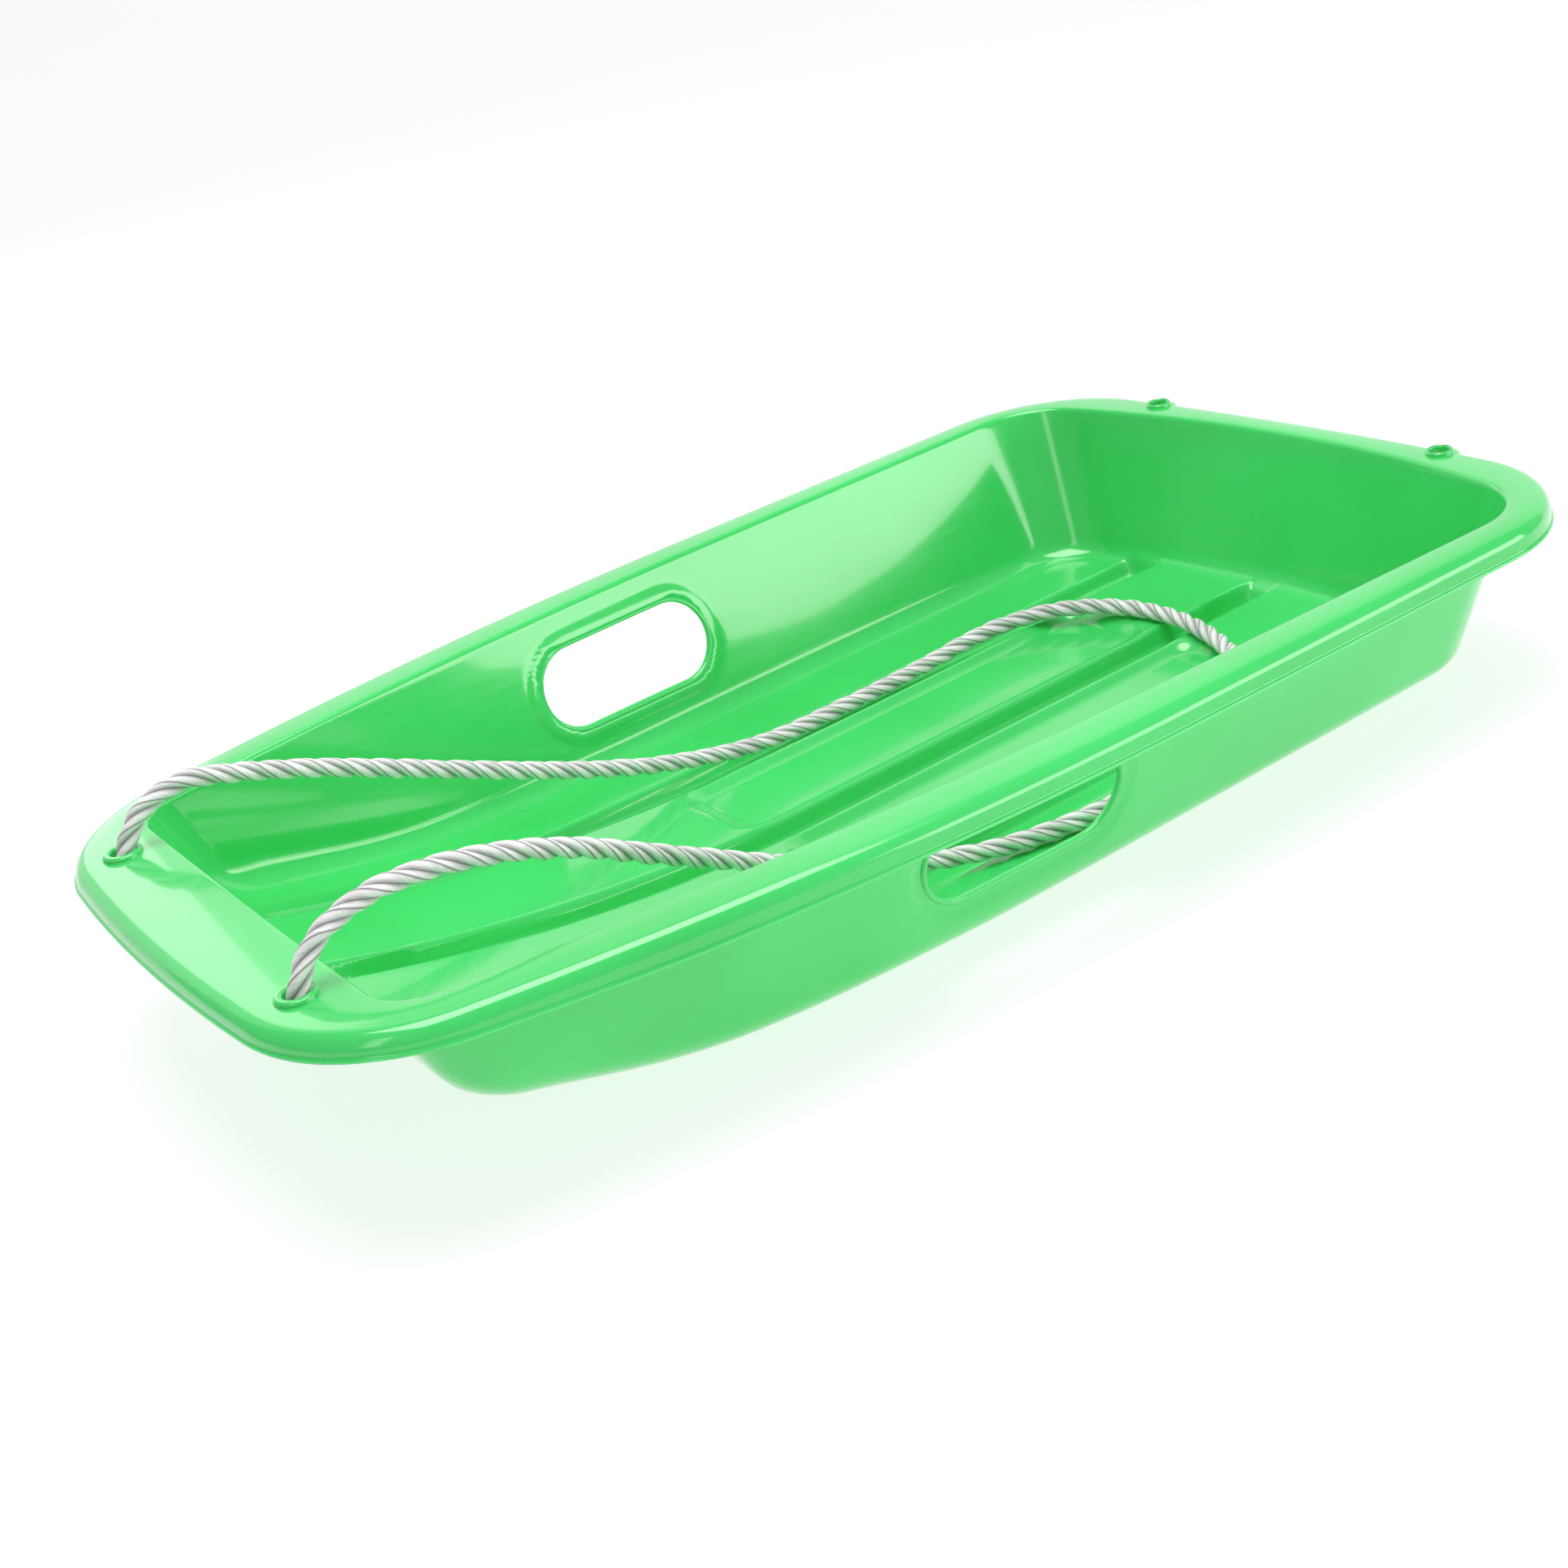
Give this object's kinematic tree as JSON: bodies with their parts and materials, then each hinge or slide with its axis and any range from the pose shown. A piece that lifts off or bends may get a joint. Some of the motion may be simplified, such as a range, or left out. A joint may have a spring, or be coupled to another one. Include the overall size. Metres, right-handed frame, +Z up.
{
  "type": "toboggan",
  "caption": "One-piece moulded plastic snow sled with a grooved floor, side handholes, a rolled rim and a tow rope looped through its bow.",
  "frame": {"origin": "middle of the ground contact, below the centre of the rim's plan box", "axes": "+X towards the bow, +Y to the sled's left, +Z up"},
  "size_m": [0.774, 0.4552, 0.1543],
  "materials": {
    "shell_plastic": "gloss",
    "rope_fibre": "satin"
  },
  "bodies": {
    "root": {"sled_shell": "shell_plastic", "tow_rope": "rope_fibre", "knot_left": "rope_fibre", "knot_right": "rope_fibre"}
  },
  "joints": []
}
